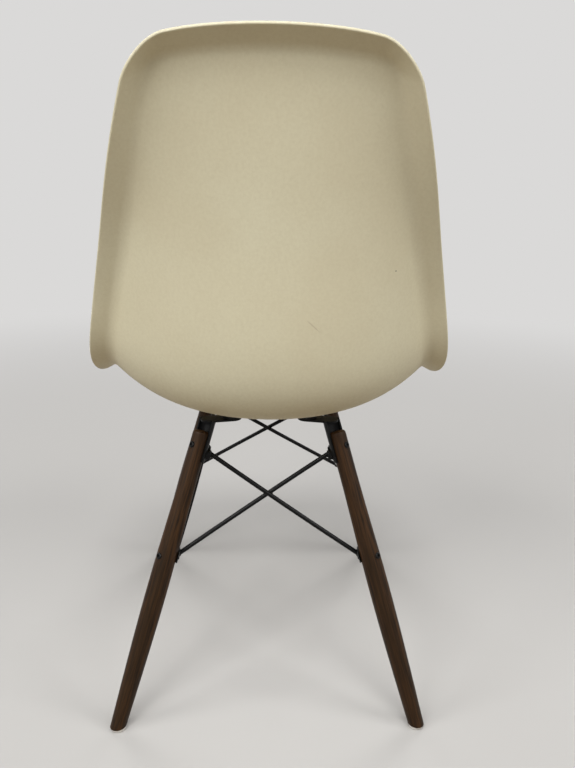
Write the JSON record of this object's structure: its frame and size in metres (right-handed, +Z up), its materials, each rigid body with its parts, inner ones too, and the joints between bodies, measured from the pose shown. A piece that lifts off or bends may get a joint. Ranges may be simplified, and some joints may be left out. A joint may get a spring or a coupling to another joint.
{
  "type": "moulded plastic shell chair",
  "caption": "Side chair with a one-piece moulded plastic seat and back on splayed round wooden legs, braced by crossed black wires.",
  "frame": {"origin": "on the floor, under the middle of the chair's width and depth", "axes": "+Z up, the sitter faces -Y, +X is the sitter's left"},
  "size_m": [0.4662, 0.5592, 0.8249],
  "materials": {
    "shell_plastic": "fine matt moulded texture, cream",
    "stained_wood": "dark brown stain, satin, faint grain",
    "black_steel": "satin black coating",
    "black_wire": "satin black coating",
    "black_fastener": "black zinc",
    "black_rubber": "matt",
    "glide_plastic": "white, slightly glossy",
    "brass_insert": "turned",
    "nail_steel": "plain"
  },
  "bodies": {
    "root": {"seat_shell": "shell_plastic", "leg_front_left": "stained_wood", "bracket_front_left": "black_steel", "saddle_front_left": "black_steel", "rubber_pad_front_left": "black_rubber", "foot_glide_front_left": "glide_plastic", "leg_front_right": "stained_wood", "bracket_front_right": "black_steel", "saddle_front_right": "black_steel", "rubber_pad_front_right": "black_rubber", "foot_glide_front_right": "glide_plastic", "leg_rear_left": "stained_wood", "bracket_rear_left": "black_steel", "saddle_rear_left": "black_steel", "rubber_pad_rear_left": "black_rubber", "foot_glide_rear_left": "glide_plastic", "leg_rear_right": "stained_wood", "bracket_rear_right": "black_steel", "saddle_rear_right": "black_steel", "rubber_pad_rear_right": "black_rubber", "foot_glide_rear_right": "glide_plastic", "brace_front_rising": "black_wire", "brace_front_falling": "black_wire", "brace_rear_rising": "black_wire", "brace_rear_falling": "black_wire", "brace_left_rising": "black_wire", "brace_left_falling": "black_wire", "brace_right_rising": "black_wire", "brace_right_falling": "black_wire", "upper_bolts": "black_fastener", "upper_nuts": "black_fastener", "lower_bolts": "black_fastener", "seat_screws": "black_fastener", "threaded_inserts": "brass_insert", "glide_nails": "nail_steel"}
  },
  "joints": []
}
